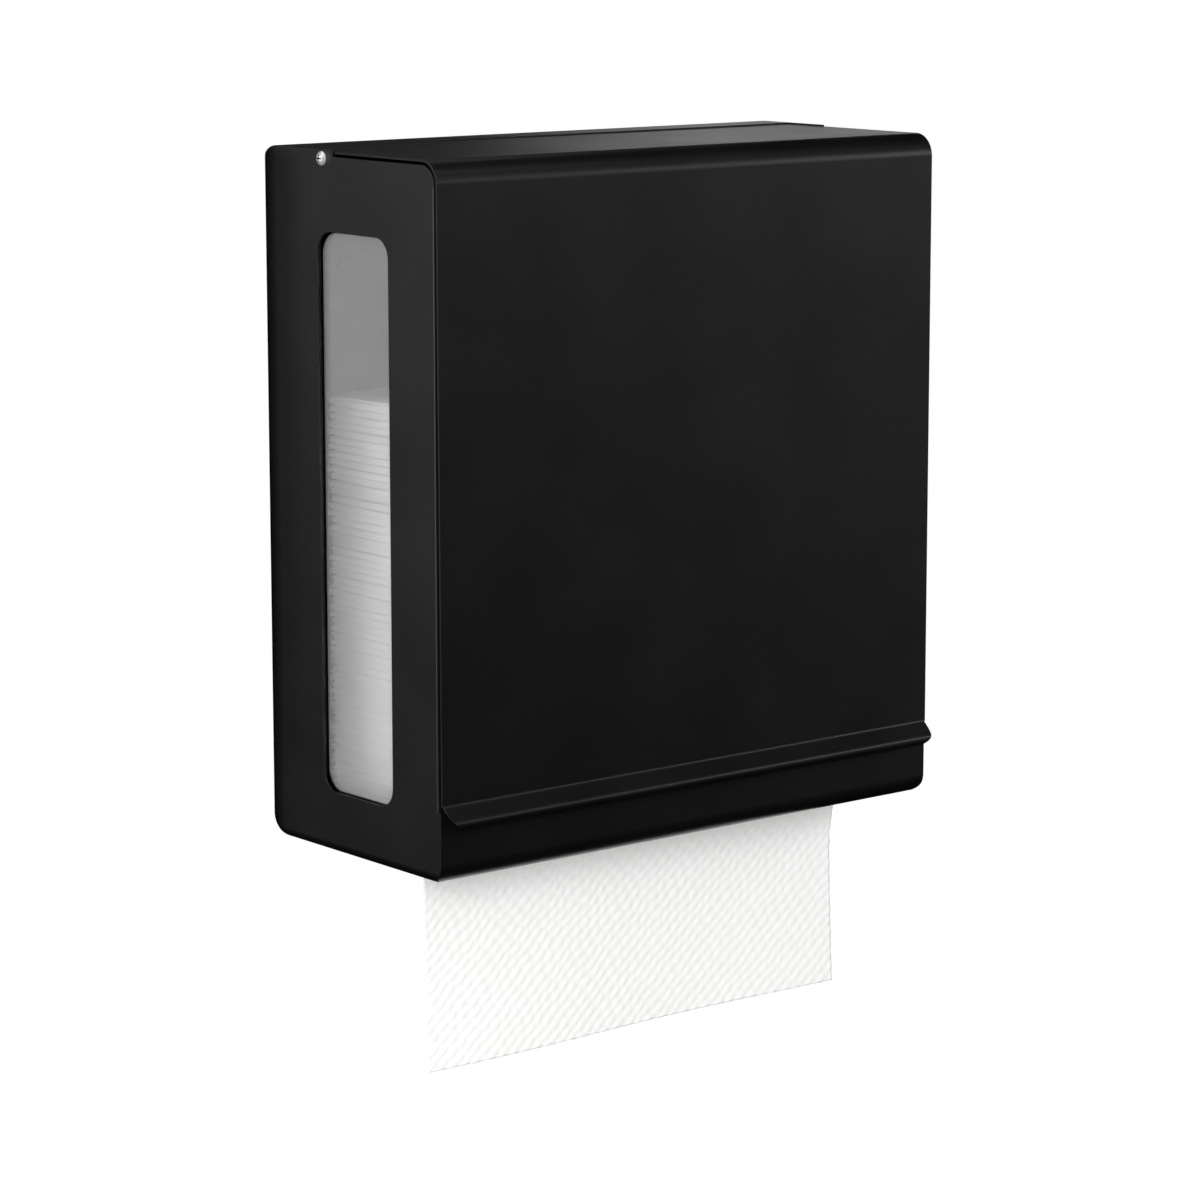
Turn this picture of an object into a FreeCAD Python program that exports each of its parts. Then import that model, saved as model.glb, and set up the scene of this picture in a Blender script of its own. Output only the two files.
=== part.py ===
import FreeCAD, Part
import math
import os
from FreeCAD import Vector

# Wall-mounted dispenser for folded paper hand towels, in millimetres.
# Frame: +X to the right of someone facing the dispenser, +Y into the wall, +Z up.
# The origin is the centre of the four wall-screw holes, in the plane of the wall.

# ---- Driving dimensions: housing -------------------------------------------------
WIDTH = 278.0              # over the side walls
HEIGHT = 302.7             # underside to top of the fixed strip
DEPTH = 125.0              # wall to face of the lower front wall
SHEET = 1.0                # steel sheet
SIDE_EDGE_R = 5.0          # rounding of the side walls' rear and bottom edges
REAR_BOTTOM_R = 10.0       # outline corners of the side walls
REAR_TOP_R = 12.0
FRONT_BOTTOM_R = 9.0       # bend under the lower front wall
HOLES_ABOVE_BOTTOM = 150.0 # centre of the wall holes above the underside
HOLE_PITCH_X = 190.0
HOLE_PITCH_Z = 200.0
HOLE_D = 5.5

# ---- Towel slot and ledges ----------------------------------------------------------
SLOT_LENGTH = 242.0
SLOT_FRONT = 87.0          # front edge of the slot from the wall
SLOT_REAR = 27.0
SLOT_CORNER_R = 8.0
SLOT_RIM = 4.0             # height of the turned-up rim over the underside
RIM_BEND_R = 1.5

# ---- Fixed strip at the rear of the top ---------------------------------------------
STRIP_DEPTH = 29.8
STRIP_FLANGE = 8.0         # stiffening flange turned down at its front
STRIP_LAP = 12.0           # lap inside the rear wall
LID_SEAM = 0.8             # gap between strip and lid
LID_DROP = 0.7             # lid below the strip

# ---- Lower front wall -----------------------------------------------------------------
RAIL_HEIGHT = 31.0
RAIL_RETURN = 7.0          # flange turned in at its top edge
FRONT_FLANGE = 9.0         # flange turned in at the front of each side wall
FLANGE_BEND_R = 1.2

# ---- Side windows ------------------------------------------------------------------------
WINDOW_DEPTH = 50.0        # along Y
WINDOW_HEIGHT = 241.0
WINDOW_BOTTOM = 27.2       # sill above the underside
WINDOW_REAR = 41.4         # rear edge from the wall
WINDOW_R = 9.0
PANE_T = 2.0
PANE_EDGE_GAP = 0.4        # pane's upright edges to the backs of its channels
PANE_END_LAP = 8.0
CHANNEL_LEG = 6.0          # from the window's edge, where the lips end, to the channel's back
CLIP_LENGTH = 30.0
CLIP_HEIGHT = 7.0

# ---- Cover -------------------------------------------------------------------------------
COVER_BEND_R = 10.0        # outside radius of the bend between lid and front
COVER_LEAN = 0.8           # the front leans out by this much at its foot
COVER_SIDE_INSET = 0.3
COVER_GAP = 0.5            # side walls' front edges to the cover
LID_GAP = 1.2              # side walls' top edges to the lid
LIP_FOLD = 34.0            # start of the flared lip above the underside
LIP_REACH = 7.2            # lip in front of the cover's face
LIP_DROP = 6.4             # fold down to the lip's crest
LIP_CURL = 3.2             # crest down to the curled edge
LIP_CURL_BACK = 1.8
LIP_INSET = 0.6            # lip's ends inside the cover's ends
LIP_CORNER_R = 8.0

# ---- Pivots -----------------------------------------------------------------------------------
PIVOT_FROM_WALL = 45.7
PIVOT_BELOW_LID = 3.1
PIVOT_D = 3.0              # screw shank
PIVOT_FIT = 0.06           # radial clearance of the shank in the side wall
LUG_FIT = 0.02             # radial clearance of the shank in the lug
STEP_AHEAD = 7.4           # where the side walls step down under the lid, ahead of the pivot
LID_STEP_GAP = 1.0         # the lid's ears start this far ahead of that step
LUG_T = 4.0
LUG_LENGTH = 12.0
LUG_HEIGHT = 7.0
LUG_SIDE_GAP = 0.8         # lug to side wall
WASHER_T = 0.7
WASHER_D = 5.6
SCREW_HEAD_D = 6.0
SCREW_HEAD_T = 2.2
SCREW_HEAD_RIM = 0.6
SCREW_RECESS_D = 3.2
SCREW_RECESS_W = 0.7
SCREW_RECESS_DEPTH = 1.1
SCREW_END = 1.6            # thread past the lug
SCREW_SEAT_GAP = 0.05

# ---- Bumper pads --------------------------------------------------------------------------------
PAD_D = 6.0
PAD_ABOVE_BOTTOM = 50.0
PAD_PLAY = 0.15            # pad to the closed cover

# ---- Towels ---------------------------------------------------------------------------------------
TOWEL_WIDTH = 235.0
STACK_DEPTH = 75.0
STACK_REAR_GAP = 18.0      # stack to the rear wall
STACK_TOP = 196.0          # above the underside
SOFT_GAP = 0.3             # paper to steel
TAIL_T = 0.6
TAIL_BELOW = 93.0          # hanging towel below the underside
TAIL_BEHIND_RIM = 1.3
TAIL_OFFSET = 1.2          # the hanging towel sits this far to the left

# ---- Derived places ---------------------------------------------------------------------------
MARGIN = 5.0
BOTTOM = -HOLES_ABOVE_BOTTOM
TOP = BOTTOM + HEIGHT
HALF = WIDTH / 2
INNER_HALF = HALF - SHEET
FRONT = -DEPTH
RAIL_TOP = BOTTOM + RAIL_HEIGHT
SIDE_FRONT = FRONT + SHEET + COVER_GAP
LID_TOP = TOP - LID_DROP
SIDE_TOP = LID_TOP - SHEET - LID_GAP
SIDE_FRONT_TOP_R = COVER_BEND_R - SHEET - COVER_GAP
LEDGE_HALF = HALF - SIDE_EDGE_R
RIM_TOP = BOTTOM + SLOT_RIM
PIVOT_Y = -PIVOT_FROM_WALL
PIVOT_Z = LID_TOP - PIVOT_BELOW_LID
SIDE_STEP_Y = PIVOT_Y - STEP_AHEAD
LID_REAR = -(STRIP_DEPTH + LID_SEAM)
STRIP_FOOT = TOP - REAR_TOP_R - 2 * SHEET
WINDOW_SILL = BOTTOM + WINDOW_BOTTOM
WINDOW_HEAD = WINDOW_SILL + WINDOW_HEIGHT
WINDOW_FRONT = WINDOW_REAR + WINDOW_DEPTH
PANE_FOOT = WINDOW_SILL - PANE_END_LAP
PANE_HEAD = WINDOW_HEAD + PANE_END_LAP
PANE_LAP = CHANNEL_LEG - SHEET - PANE_EDGE_GAP
PANE_PLAY = 0.1
CHANNEL_SLOT = PANE_T + 2 * PANE_PLAY
LUG_FACE = INNER_HALF - LUG_SIDE_GAP
COVER_HALF = HALF - COVER_SIDE_INSET
FOLD_Z = BOTTOM + LIP_FOLD
SIDES = {"left": -1, "right": 1}


def block(x0, x1, y0, y1, z0, z1):
    """A box between two corners."""
    return Part.makeBox(x1 - x0, y1 - y0, z1 - z0, Vector(x0, y0, z0))


def export(name, shape):
    """Write one named piece."""
    shape.exportStep("parts/" + name + ".step")


def rounded_edges(points, radii, place):
    """Edges along a polyline with its inner corners rounded; place turns (u, v) into a point."""
    edges = []
    start = points[0]
    for i in range(1, len(points) - 1):
        a, p, b = points[i - 1], points[i], points[i + 1]
        din = ((p[0] - a[0]) / math.dist(a, p), (p[1] - a[1]) / math.dist(a, p))
        dout = ((b[0] - p[0]) / math.dist(p, b), (b[1] - p[1]) / math.dist(p, b))
        turn = math.acos(max(-1.0, min(1.0, din[0] * dout[0] + din[1] * dout[1])))
        reach = radii[i - 1] * math.tan(turn / 2)
        first = (p[0] - din[0] * reach, p[1] - din[1] * reach)
        last = (p[0] + dout[0] * reach, p[1] + dout[1] * reach)
        inward = (dout[0] - din[0], dout[1] - din[1])
        size = math.hypot(*inward)
        sag = math.hypot(reach, radii[i - 1]) - radii[i - 1]
        middle = (p[0] + inward[0] / size * sag, p[1] + inward[1] / size * sag)
        edges.append(Part.LineSegment(place(*start), place(*first)).toShape())
        edges.append(Part.Arc(place(*first), place(*middle), place(*last)).toShape())
        start = last
    edges.append(Part.LineSegment(place(*start), place(*points[-1])).toShape())
    return edges


def bent_sheet(path, radii, half_length, side):
    """A bent sheet along X. path holds (y, z) on one face, radii the bends on that face.
    The sheet lies to the left of the path for side 1, and to its right for side -1."""
    other = []
    other_radii = []
    last = len(path) - 1
    for i in range(len(path)):
        before = path[max(i - 1, 0)]
        here = path[i]
        after = path[min(i + 1, last)]
        normals = []
        for a, b in ((before, here), (here, after)):
            if a != b:
                length = math.dist(a, b)
                normals.append((-side * (b[1] - a[1]) / length, side * (b[0] - a[0]) / length))
        if len(normals) == 1:
            shift = normals[0]
        else:
            m, n = normals
            spread = 1 + m[0] * n[0] + m[1] * n[1]
            shift = ((m[0] + n[0]) / spread, (m[1] + n[1]) / spread)
            cross = m[0] * n[1] - m[1] * n[0]
            other_radii.append(radii[i - 1] - side * math.copysign(SHEET, cross))
        other.append((here[0] + shift[0] * SHEET, here[1] + shift[1] * SHEET))

    def place(y, z):
        return Vector(-half_length, y, z)

    near = rounded_edges(path, radii, place)
    far = rounded_edges(other, other_radii, place)
    ends = [
        Part.LineSegment(place(*path[0]), place(*other[0])).toShape(),
        Part.LineSegment(place(*path[-1]), place(*other[-1])).toShape(),
    ]
    wire = Part.Wire(Part.__sortEdges__(near + far + ends))
    return Part.Face(wire).extrude(Vector(2 * half_length, 0, 0))


def corner_section(corner, out_u, out_v, radius):
    """What a quarter-round takes off a square edge: a flat face at corner, with the two
    outward directions of the edge's faces."""
    def at(u, v):
        return corner + out_u * u + out_v * v

    mid = radius * (1 - math.sqrt(0.5))
    arc = Part.Arc(at(-radius, 0), at(-mid, -mid), at(0, -radius)).toShape()
    rim = [at(0, -radius), at(MARGIN, -radius), at(MARGIN, MARGIN), at(-radius, MARGIN), at(-radius, 0)]
    lines = [Part.LineSegment(a, b).toShape() for a, b in zip(rim, rim[1:])]
    return Part.Face(Part.Wire([arc] + lines))


def rounding(corner, out_u, out_v, radius, run):
    """The straight cutter that rounds an edge along run."""
    return corner_section(corner, out_u, out_v, radius).extrude(run)


def rounded_plate(y0, y1, z0, z1, radius, x0, x1):
    """A prism along X with four rounded corners."""
    plate = block(x0, x1, y0, y1, z0, z1)
    along = Vector(x1 - x0, 0, 0)
    for y, v in ((y0, -1), (y1, 1)):
        for z, w in ((z0, -1), (z1, 1)):
            plate = plate.cut(rounding(Vector(x0, y, z), Vector(0, v, 0), Vector(0, 0, w), radius, along))
    return plate


def side_roundings(half, rear, bottom, radius, bottom_r):
    """Cutters that round the rear and bottom edges of both side walls, down the rear, round
    the outline's lower corner and forward along the bottom."""
    cutters = []
    for side in SIDES.values():
        out = Vector(side, 0, 0)
        back = Vector(0, 1, 0)
        down = Vector(0, 0, -1)
        bend_z = bottom + bottom_r
        bend_y = rear - bottom_r
        upright = Vector(side * half, rear, bend_z)
        cutters.append(rounding(upright, out, back, radius, Vector(0, 0, TOP + MARGIN - bend_z)))
        turn = corner_section(upright, out, back, radius)
        cutters.append(turn.revolve(Vector(0, bend_y, bend_z), Vector(1, 0, 0), -90))
        foot = Vector(side * half, bend_y, bottom)
        ahead = Vector(0, FRONT - MARGIN - bend_y, 0)
        cutters.append(rounding(foot, out, down, radius, ahead))
    return cutters


def cut_all(shape, cutters):
    for cutter in cutters:
        shape = shape.cut(cutter)
    return shape


def box_form(inset, front, top, top_r):
    """The housing's closed outer form, or with inset the space inside its sheet."""
    half = HALF - inset
    rear = -inset
    bottom = BOTTOM + inset
    form = block(-half, half, front, rear, bottom, top)
    along = Vector(2 * half, 0, 0)
    low_r = REAR_BOTTOM_R - inset
    lower = Vector(-half, rear, bottom)
    form = form.cut(rounding(lower, Vector(0, 1, 0), Vector(0, 0, -1), low_r, along))
    if top_r:
        upper = Vector(-half, rear, top)
        form = form.cut(rounding(upper, Vector(0, 1, 0), Vector(0, 0, 1), top_r, along))
    return cut_all(form, side_roundings(half, rear, bottom, SIDE_EDGE_R - inset, low_r))


def slot_prism(grow, z0, z1):
    """The towel slot's outline with rounded rear corners, open towards the front ledge."""
    half = SLOT_LENGTH / 2 + grow
    rear = -SLOT_REAR + grow
    prism = block(-half, half, -SLOT_FRONT, rear, z0, z1)
    up = Vector(0, 0, z1 - z0)
    for side in SIDES.values():
        corner = Vector(side * half, rear, z0)
        prism = prism.cut(rounding(corner, Vector(side, 0, 0), Vector(0, 1, 0), SLOT_CORNER_R + grow, up))
    return prism


def lower_front_rail():
    """Low front wall: return flange, wall, bend, front ledge and turned-up slot rim."""
    path = [
        (FRONT + RAIL_RETURN, RAIL_TOP),
        (FRONT, RAIL_TOP),
        (FRONT, BOTTOM),
        (-SLOT_FRONT, BOTTOM),
        (-SLOT_FRONT, RIM_TOP),
    ]
    rail = bent_sheet(path, [RIM_BEND_R, FRONT_BOTTOM_R, RIM_BEND_R + SHEET], HALF, 1)
    bend_end = FRONT + FRONT_BOTTOM_R
    rail = cut_all(rail, side_roundings(HALF, 0, BOTTOM, SIDE_EDGE_R, REAR_BOTTOM_R))
    for side in SIDES.values():
        near, far = sorted((side * LEDGE_HALF, side * (HALF + MARGIN)))
        rail = rail.cut(block(near, far, bend_end, 0, BOTTOM - MARGIN, RIM_TOP + MARGIN))
        near, far = sorted((side * SLOT_LENGTH / 2, side * (HALF + MARGIN)))
        rim_y = -SLOT_FRONT - SHEET - RIM_BEND_R
        rail = rail.cut(block(near, far, rim_y, 0, BOTTOM + SHEET, RIM_TOP + MARGIN))
        near, far = sorted((side * INNER_HALF, side * (HALF + MARGIN)))
        rail = rail.cut(block(near, far, FRONT + SHEET, bend_end, RAIL_TOP - 2 * SHEET, RAIL_TOP + MARGIN))
    return rail


def housing_shell(rail):
    """Rear wall and side walls from one sheet, rounded at the rear and along the bottom."""
    outer = box_form(0, FRONT, TOP, REAR_TOP_R)
    inner = box_form(SHEET, FRONT - MARGIN, TOP + MARGIN, 0)
    shell = outer.cut(inner)
    along = Vector(WIDTH, 0, 0)
    front_low = Vector(-HALF, FRONT, BOTTOM)
    ahead = Vector(0, -1, 0)
    shell = shell.cut(rounding(front_low, ahead, Vector(0, 0, -1), FRONT_BOTTOM_R, along))
    shell = shell.cut(block(-LEDGE_HALF, LEDGE_HALF, FRONT, -SLOT_FRONT, BOTTOM - MARGIN, BOTTOM + SHEET))
    shell = shell.cut(block(-HALF, HALF, FRONT - MARGIN, FRONT + SHEET, BOTTOM - MARGIN, RAIL_TOP))
    shell = shell.cut(block(-HALF, HALF, FRONT - MARGIN, SIDE_FRONT, RAIL_TOP, TOP + MARGIN))
    # side walls end lower under the lid, and round off under the cover's bend
    shell = shell.cut(block(-HALF, HALF, FRONT - MARGIN, SIDE_STEP_Y, SIDE_TOP, TOP + MARGIN))
    front_high = Vector(-HALF, SIDE_FRONT, SIDE_TOP)
    shell = shell.cut(rounding(front_high, ahead, Vector(0, 0, 1), SIDE_FRONT_TOP_R, along))
    # the rear wall stops below the fixed strip
    shell = shell.cut(block(-INNER_HALF, INNER_HALF, -DEPTH, MARGIN, STRIP_FOOT, TOP + MARGIN))
    flange_top = SIDE_TOP - SIDE_FRONT_TOP_R
    for side in SIDES.values():
        near, far = sorted((side * HALF, side * (HALF - FRONT_FLANGE)))
        flange = block(near, far, SIDE_FRONT, SIDE_FRONT + SHEET, RAIL_TOP + SHEET, flange_top)
        shell = shell.fuse(flange)
        edge = Vector(side * HALF, SIDE_FRONT, RAIL_TOP)
        run = Vector(0, 0, flange_top - RAIL_TOP)
        shell = shell.cut(rounding(edge, Vector(side, 0, 0), ahead, FLANGE_BEND_R, run))
    shell = shell.cut(slot_prism(0, BOTTOM - MARGIN, BOTTOM + MARGIN))
    rim = slot_prism(SHEET, BOTTOM, RIM_TOP).cut(slot_prism(0, BOTTOM - MARGIN, RIM_TOP + MARGIN))
    shell = shell.fuse(rim).cut(rail)
    for side in SIDES.values():
        near, far = sorted((side * (HALF - MARGIN), side * (HALF + MARGIN)))
        shell = shell.cut(rounded_plate(-WINDOW_FRONT, -WINDOW_REAR, WINDOW_SILL, WINDOW_HEAD, WINDOW_R, near, far))
        hole = PIVOT_D / 2 + PIVOT_FIT
        start = Vector(near, PIVOT_Y, PIVOT_Z)
        shell = shell.cut(Part.makeCylinder(hole, far - near, start, Vector(1, 0, 0)))
        for up in (-1, 1):
            start = Vector(side * HOLE_PITCH_X / 2, -MARGIN, up * HOLE_PITCH_Z / 2)
            shell = shell.cut(Part.makeCylinder(HOLE_D / 2, 2 * MARGIN, start, Vector(0, 1, 0)))
    return shell.removeSplitter()


def top_rear_rail():
    """Fixed strip behind the lid, with its rear bend, a lap inside the rear wall and a flange."""
    outer = box_form(0, FRONT, TOP, REAR_TOP_R)
    inner = box_form(SHEET, FRONT - MARGIN, TOP - SHEET, REAR_TOP_R - SHEET)
    strip = outer.cut(inner)
    window = block(-INNER_HALF, INNER_HALF, -STRIP_DEPTH, MARGIN, STRIP_FOOT, TOP + MARGIN)
    strip = strip.common(window)
    flange = block(-INNER_HALF, INNER_HALF, -STRIP_DEPTH, -STRIP_DEPTH + SHEET, TOP - STRIP_FLANGE, TOP)
    lap_half = HALF - 2 * SIDE_EDGE_R
    lap = block(-lap_half, lap_half, -2 * SHEET, -SHEET, STRIP_FOOT - STRIP_LAP, STRIP_FOOT + SHEET)
    return strip.fuse(flange).fuse(lap).removeSplitter()


def front_cover():
    """Lid, front bend, leaning front panel and flared, curled finger lip in one sheet."""
    foot = FRONT - COVER_LEAN
    crest = (foot - LIP_REACH, FOLD_Z - LIP_DROP)
    curl = (crest[0] + LIP_CURL_BACK, crest[1] - LIP_CURL)
    path = [(LID_REAR, LID_TOP), (FRONT, LID_TOP), (foot, FOLD_Z), crest, curl]
    cover = bent_sheet(path, [COVER_BEND_R, 2.0 * SHEET, 2.5 * SHEET], COVER_HALF, 1)
    lip_half = COVER_HALF - LIP_INSET
    ear_y = SIDE_STEP_Y - LID_STEP_GAP
    for side in SIDES.values():
        near, far = sorted((side * lip_half, side * (HALF + MARGIN)))
        cover = cover.cut(block(near, far, crest[0] - MARGIN, foot + MARGIN, curl[1] - MARGIN, FOLD_Z))
        tip = Vector(side * lip_half, crest[0] - MARGIN, curl[1])
        run = Vector(0, LIP_REACH + 2 * MARGIN, 0)
        cover = cover.cut(rounding(tip, Vector(side, 0, 0), Vector(0, 0, -1), LIP_CORNER_R, run))
        near, far = sorted((side * LUG_FACE, side * (HALF + MARGIN)))
        cover = cover.cut(block(near, far, ear_y, 0, TOP - MARGIN, TOP + MARGIN))
    return cover.removeSplitter()


def along_x(side, start, end, radius):
    """A cylinder on the pivot axis between two distances from the middle."""
    near, far = sorted((side * start, side * end))
    return Part.makeCylinder(radius, far - near, Vector(near, PIVOT_Y, PIVOT_Z), Vector(1, 0, 0))


def hinge_lug(side):
    """Small steel block under the lid, tapped for the pivot screw."""
    near, far = sorted((side * LUG_FACE, side * (LUG_FACE - LUG_T)))
    rear = PIVOT_Y + LUG_LENGTH / 2
    front = PIVOT_Y - LUG_LENGTH / 2
    seat = LID_TOP - SHEET
    foot = seat - LUG_HEIGHT
    lug = block(near, far, front, rear, foot, seat)
    run = Vector(far - near, 0, 0)
    for y, v in ((front, -1), (rear, 1)):
        corner = Vector(near, y, foot)
        lug = lug.cut(rounding(corner, Vector(0, v, 0), Vector(0, 0, -1), LUG_LENGTH / 4, run))
    return lug.cut(along_x(side, 0, HALF, PIVOT_D / 2 + LUG_FIT))


def pivot_screw(side):
    """Pan-head machine screw with a cross recess; its shank is the hinge pin."""
    seat = HALF + SCREW_SEAT_GAP
    rim = seat + SCREW_HEAD_RIM
    crown = seat + SCREW_HEAD_T
    head_r = SCREW_HEAD_D / 2
    shank_end = LUG_FACE - LUG_T - SCREW_END
    shank_r = PIVOT_D / 2

    def at(x, r):
        return Vector(side * x, PIVOT_Y, PIVOT_Z + r)

    rise = crown - rim
    ball = (head_r ** 2 + rise ** 2) / (2 * rise)
    half_r = head_r / 2
    shoulder = crown - ball + math.sqrt(ball ** 2 - half_r ** 2)
    outline = [at(crown, 0), at(shank_end, 0), at(shank_end, shank_r), at(seat, shank_r), at(seat, head_r),
               at(rim, head_r)]
    edges = [Part.LineSegment(a, b).toShape() for a, b in zip(outline, outline[1:])]
    edges.append(Part.Arc(at(rim, head_r), at(shoulder, half_r), at(crown, 0)).toShape())
    screw = Part.Face(Part.Wire(edges)).revolve(at(0, 0), Vector(1, 0, 0), 360)
    near, far = sorted((side * (crown - SCREW_RECESS_DEPTH), side * (crown + MARGIN)))
    arm = SCREW_RECESS_D / 2
    web = SCREW_RECESS_W / 2
    for dy, dz in ((arm, web), (web, arm)):
        screw = screw.cut(block(near, far, PIVOT_Y - dy, PIVOT_Y + dy, PIVOT_Z - dz, PIVOT_Z + dz))
    return screw


def pivot_washer(side):
    """Nylon washer between lug and side wall."""
    start = LUG_FACE + (LUG_SIDE_GAP - WASHER_T) / 2
    ring = along_x(side, start, start + WASHER_T, WASHER_D / 2)
    return ring.cut(along_x(side, 0, HALF, PIVOT_D / 2 + PIVOT_FIT))


def pane_channel(side, edge, inward):
    """U-channel for one upright edge of a pane. edge is the window's edge, and inward the
    direction along Y from the channel's back to the window."""
    back = edge - inward * CHANNEL_LEG
    outer = INNER_HALF
    inner = outer - 2 * SHEET - CHANNEL_SLOT
    x0, x1 = sorted((side * outer, side * inner))
    y0, y1 = sorted((edge, back))
    channel = block(x0, x1, y0, y1, PANE_FOOT, PANE_HEAD)
    x0, x1 = sorted((side * (outer - SHEET), side * (inner + SHEET)))
    y0, y1 = sorted((edge + inward * MARGIN, back + inward * SHEET))
    return channel.cut(block(x0, x1, y0, y1, PANE_FOOT, PANE_HEAD))


def window_pane(side):
    """Frosted pane, held between the two channels."""
    outer = INNER_HALF - SHEET - PANE_PLAY
    x0, x1 = sorted((side * outer, side * (outer - PANE_T)))
    return block(x0, x1, -WINDOW_FRONT - PANE_LAP, -WINDOW_REAR + PANE_LAP, PANE_FOOT, PANE_HEAD)


def pane_clip(side):
    """Bent tab on the side wall that the pane stands on."""
    middle = -(WINDOW_FRONT + WINDOW_REAR) / 2
    y0 = middle - CLIP_LENGTH / 2
    y1 = middle + CLIP_LENGTH / 2
    foot = PANE_FOOT - CLIP_HEIGHT
    x0, x1 = sorted((side * INNER_HALF, side * (INNER_HALF - SHEET)))
    leg = block(x0, x1, y0, y1, foot, PANE_FOOT)
    x0, x1 = sorted((side * INNER_HALF, side * (INNER_HALF - 2 * SHEET - CHANNEL_SLOT)))
    return leg.fuse(block(x0, x1, y0, y1, PANE_FOOT - SHEET, PANE_FOOT)).removeSplitter()


def cover_bumpers():
    """Two rubber pads on the side walls' front flanges."""
    height = BOTTOM + PAD_ABOVE_BOTTOM
    lean = COVER_LEAN * (LID_TOP - height) / (LID_TOP - FOLD_Z)
    reach = SIDE_FRONT - (FRONT - lean + SHEET) - PAD_PLAY
    pads = []
    for side in SIDES.values():
        middle = side * (HALF - FRONT_FLANGE / 2)
        start = Vector(middle, SIDE_FRONT, height)
        pads.append(Part.makeCylinder(PAD_D / 2, reach, start, Vector(0, -1, 0)))
    return Part.makeCompound(pads)


def towel_stack():
    rear = -SHEET - STACK_REAR_GAP
    return block(-TOWEL_WIDTH / 2, TOWEL_WIDTH / 2, rear - STACK_DEPTH, rear, RIM_TOP + SOFT_GAP, BOTTOM + STACK_TOP)


def hanging_towel():
    front = -SLOT_FRONT + TAIL_BEHIND_RIM
    left = -TOWEL_WIDTH / 2 - TAIL_OFFSET
    return block(left, left + TOWEL_WIDTH, front, front + TAIL_T, BOTTOM - TAIL_BELOW, RIM_TOP)


os.makedirs("parts", exist_ok=True)
rail = lower_front_rail()
export("lower_front_rail", rail)
export("housing_shell", housing_shell(rail))
export("top_rear_rail", top_rear_rail())
export("front_cover", front_cover())
export("cover_bumpers", cover_bumpers())
export("towel_stack", towel_stack())
export("hanging_towel", hanging_towel())
for name, side in SIDES.items():
    export("hinge_lug_" + name, hinge_lug(side))
    export("pivot_screw_" + name, pivot_screw(side))
    export("pivot_washer_" + name, pivot_washer(side))
    export("window_pane_" + name, window_pane(side))
    export("pane_clip_" + name, pane_clip(side))
    export("pane_channel_" + name + "_front", pane_channel(side, -WINDOW_FRONT, 1))
    export("pane_channel_" + name + "_rear", pane_channel(side, -WINDOW_REAR, -1))
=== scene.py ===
import math
import random

import bmesh
import bpy
from mathutils import Matrix, Vector, noise


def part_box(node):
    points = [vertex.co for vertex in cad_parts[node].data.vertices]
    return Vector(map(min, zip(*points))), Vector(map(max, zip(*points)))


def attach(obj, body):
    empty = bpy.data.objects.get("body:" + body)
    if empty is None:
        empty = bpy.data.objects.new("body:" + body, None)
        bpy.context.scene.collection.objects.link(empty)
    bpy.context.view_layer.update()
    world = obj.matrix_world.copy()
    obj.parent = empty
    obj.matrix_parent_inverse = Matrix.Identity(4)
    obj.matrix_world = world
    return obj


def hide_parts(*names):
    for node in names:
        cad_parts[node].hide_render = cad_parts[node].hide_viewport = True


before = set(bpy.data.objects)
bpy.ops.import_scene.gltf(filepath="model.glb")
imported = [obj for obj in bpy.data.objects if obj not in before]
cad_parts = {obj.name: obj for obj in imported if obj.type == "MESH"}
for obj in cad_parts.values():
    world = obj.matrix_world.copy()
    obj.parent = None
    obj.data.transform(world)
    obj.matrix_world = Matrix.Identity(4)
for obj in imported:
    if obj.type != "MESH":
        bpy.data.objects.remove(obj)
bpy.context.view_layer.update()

# ---- Camera -----------------------------------------------------------------------------------
# A long lens stands in front of the dispenser and well to the left of it, and looks down on
# its left wall, front and lid by ten degrees.
CAMERA_PLACE = (-1.1123, -1.4182, 0.2631)
CAMERA_LENS = 119.7
SENSOR_WIDTH = 36.0
DEGREES_DOWN = 10.21
DEGREES_TO_RIGHT = 39.31
NEAREST_SEEN = 0.05
FARTHEST_SEEN = 100.0
camera_data = bpy.data.cameras.new("camera")
camera_data.sensor_width = SENSOR_WIDTH
camera_data.lens = CAMERA_LENS
camera_data.clip_start = NEAREST_SEEN
camera_data.clip_end = FARTHEST_SEEN
camera = bpy.data.objects.new("camera", camera_data)
camera.location = CAMERA_PLACE
camera.rotation_euler = (math.radians(90 - DEGREES_DOWN), 0, math.radians(-DEGREES_TO_RIGHT))
bpy.context.scene.collection.objects.link(camera)
bpy.context.scene.camera = camera
bpy.context.scene.view_settings.view_transform = "Standard"

# ---- Studio -----------------------------------------------------------------------------------
# A white room with a pale floor well below the dispenser, soft lamps in front of it, beside
# it and behind it, and black flags that shape the reflections in its dark coat.
LOOK_AT = Vector((0.0, -0.06, -0.02))
FLOOR_Z = -1.6
FLOOR_HALF = 24.0
FLOOR_SHADE = 0.5
FLOOR_GLOW = 0.84
ROOM_FILL = 0.33
LID_CARD_MIDDLE = Vector((-1.1, 1.0, 1.6))
LID_CARD_WIDTH = 4.2
LID_CARD_HEIGHT = 2.9
LID_CARD_LEAN = 2.9


def add_node(tree, kind, inputs=None, **options):
    """Adds a shader node. An input given a socket is linked, and any other is set."""
    made = tree.nodes.new(kind)
    for name, value in options.items():
        setattr(made, name, value)
    for name, value in (inputs or {}).items():
        if isinstance(value, bpy.types.NodeSocket):
            tree.links.new(value, made.inputs[name])
        else:
            made.inputs[name].default_value = value
    return made


def grey(value):
    """A colour without hue, as a shader's socket takes it."""
    return (value, value, value, 1.0)


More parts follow.
